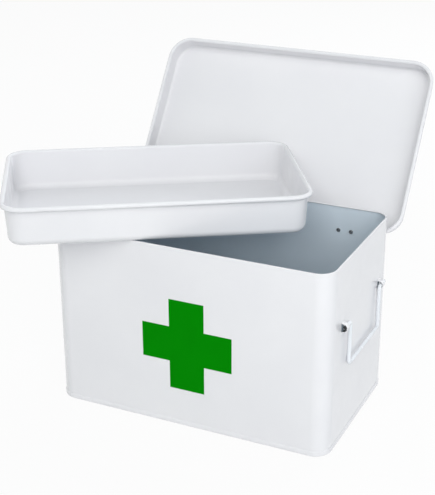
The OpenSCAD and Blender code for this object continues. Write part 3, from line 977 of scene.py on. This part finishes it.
class MEDICINEBOX_OT_tray(bpy.types.Operator):
    """Lift-out tray: a pressed pan with a curled rim, laid across the box"""
    bl_idname = "medicine_box.tray"
    bl_label = "Tray"

    def execute(self, context):
        sizes = context.scene.medicine_box_sizes
        low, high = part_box("tray")
        section = curled_section(sizes.tray_height, sizes.tray_edge, sizes.tray_lean, sizes.tray_curl, sizes.sheet, 6)
        tray = pressed_pan(
            "tray_pressed", sizes.tray_width, sizes.tray_across, sizes.tray_corner, section, TRAY_CROWN,
            [finish_named("white stove paint")])
        middle = (low + high) / 2
        place(tray, Matrix.Translation((middle.x, middle.y, sizes.body_height + sizes.tray_air))
              @ Matrix.Rotation(sizes.tray_turn, 4, "Z"))
        stand_in(tray, "tray", "white_paint", "tray")
        return {"FINISHED"}


class MEDICINEBOX_OT_handles(bpy.types.Operator):
    """Two coated wire handles that hang in their lugs"""
    bl_idname = "medicine_box.handles"
    bl_label = "Handles"

    def execute(self, context):
        sizes = context.scene.medicine_box_sizes
        tree = wire_tree()
        out = sizes.body_width / 2 + sizes.lug_reach - sizes.sheet - sizes.lug_play - sizes.wire / 2
        tip = sizes.arm_half + sizes.end_length - sizes.wire / 2
        line, drop, arm = sizes.handle_line, sizes.grip_drop, sizes.arm_half
        shape = [(tip, 0.0), (arm, 0.0), (arm, -drop), (-arm, -drop), (-arm, 0.0), (-tip, 0.0)]
        # The wire's rounded ends wear the near-black painted shade.
        values = {
            "Wire Diameter": sizes.wire, "Bend Radius": sizes.wire_bend,
            "Finish": finish_named("white wire coat"), "End Finish": finish_named("bare dark metal")}
        for side, name in ((-1, "handle_left"), (1, "handle_right")):
            points = [(side * out, sizes.handle_back + y, line + z) for y, z in shape]
            edges = [(i, i + 1) for i in range(len(points) - 1)]
            wire = grown(name + "_wire", tree, values, points, edges)
            stand_in(wire, name, "white_wire", name)
        return {"FINISHED"}


class MEDICINEBOX_OT_hinges(bpy.types.Operator):
    """Two hinges: leaves with rolled knuckles, cranked lid leaves and pins"""
    bl_idname = "medicine_box.hinges"
    bl_label = "Hinges"

    def execute(self, context):
        sizes = context.scene.medicine_box_sizes
        finish = finish_named("plated steel")
        swing = swung_open(sizes)
        for side, sign in (("left", -1), ("right", 1)):
            line = Matrix.Translation((
                sign * sizes.hinge_out, sizes.body_depth / 2 + sizes.hinge_back, sizes.hinge_line))
            for part, make, body, turned in (
                    ("body_leaf", body_leaf, "body", False), ("lid_leaf", lid_leaf, "lid", True),
                    ("pin", hinge_pin, "body", False)):
                node = f"hinge_{side}_{part}"
                piece = make(node + "_rolled", sizes, finish)
                place(piece, swing @ line if turned else line)
                stand_in(piece, body, "plated_steel", node, slack=0.0005)
        return {"FINISHED"}


class MEDICINEBOX_OT_rivets(bpy.types.Operator):
    """Rivets that hold the hinge leaves, domed outside and rolled inside"""
    bl_idname = "medicine_box.rivets"
    bl_label = "Rivets"

    def execute(self, context):
        sizes = context.scene.medicine_box_sizes
        tree = rivet_tree()
        rear = sizes.body_depth / 2 + sizes.leaf
        common = {
            "Head Diameter": sizes.rivet_head, "Dome Height": sizes.rivet_dome, "Shank Diameter": sizes.rivet_shank,
            "Grip": sizes.leaf + sizes.sheet, "Roll": (sizes.rivet_head - sizes.rivet_shank) / 2 + 0.0001,
            "Pitch": sizes.rivet_pitch, "Hinge Spacing": 2 * sizes.hinge_out,
            # The rivets wear the darker painted shade, their cores the lighter plain steel.
            "Finish": finish_named("dulled rivet steel"), "End Finish": finish_named("plated steel")}

        def riveted(name, turned, where):
            values = dict(common, Turn=(-math.pi / 2 - turned, 0.0, 0.0), Place=tuple(where))
            return grown(name, tree, values, [(0.0, 0.0, 0.0)], [])

        body = riveted("body_rivets_set", 0.0, (0.0, rear, sizes.hinge_line - sizes.rivet_drop))
        stand_in(body, "body", "plated_steel", "body_rivets")
        strap = sizes.lid_height - sizes.lid_depth + sizes.lid_curl + 2 * sizes.hinge_play + sizes.leaf
        closed = Vector((0.0, rear + sizes.lid_over, (strap + sizes.lid_height - sizes.lid_edge) / 2))
        lid = riveted("lid_rivets_set", sizes.lid_open, swung_open(sizes) @ closed)
        stand_in(lid, "lid", "plated_steel", "lid_rivets")
        return {"FINISHED"}


class MEDICINEBOX_OT_cross(bpy.types.Operator):
    """Green cross printed on the front"""
    bl_idname = "medicine_box.cross"
    bl_label = "Cross"

    def execute(self, context):
        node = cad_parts["cross_mark"]
        node.data.materials.clear()
        node.data.materials.append(finish_named("green print"))
        return {"FINISHED"}


class MEDICINEBOX_PT_parts(bpy.types.Panel):
    """The box's pieces, in the order that they are made"""
    bl_idname = "MEDICINEBOX_PT_parts"
    bl_label = "Medicine Box"
    bl_space_type = "VIEW_3D"
    bl_region_type = "UI"
    bl_category = "Medicine Box"

    def draw(self, context):
        for operator in OPERATORS:
            self.layout.operator(operator.bl_idname)


OPERATORS = (
    MEDICINEBOX_OT_stage, MEDICINEBOX_OT_body, MEDICINEBOX_OT_base_pan, MEDICINEBOX_OT_lid, MEDICINEBOX_OT_tray,
    MEDICINEBOX_OT_handles, MEDICINEBOX_OT_hinges, MEDICINEBOX_OT_rivets, MEDICINEBOX_OT_cross,
)
CLASSES = (MedicineBoxSizes, MedicineBoxFinish, MedicineBoxStage, *OPERATORS, MEDICINEBOX_PT_parts)


def register():
    for c in CLASSES:
        bpy.utils.register_class(c)
    bpy.types.Scene.medicine_box_sizes = PointerProperty(type=MedicineBoxSizes)
    bpy.types.Scene.medicine_box_finish = PointerProperty(type=MedicineBoxFinish)
    bpy.types.Scene.medicine_box_stage = PointerProperty(type=MedicineBoxStage)


def unregister():
    del bpy.types.Scene.medicine_box_stage
    del bpy.types.Scene.medicine_box_finish
    del bpy.types.Scene.medicine_box_sizes
    for c in reversed(CLASSES):
        bpy.utils.unregister_class(c)


def main():
    register()
    steps = bpy.ops.medicine_box
    steps.stage()
    steps.body()
    steps.base_pan()
    steps.lid()
    steps.tray()
    steps.handles()
    steps.hinges()
    steps.rivets()
    steps.cross()


if __name__ == "__main__":
    main()
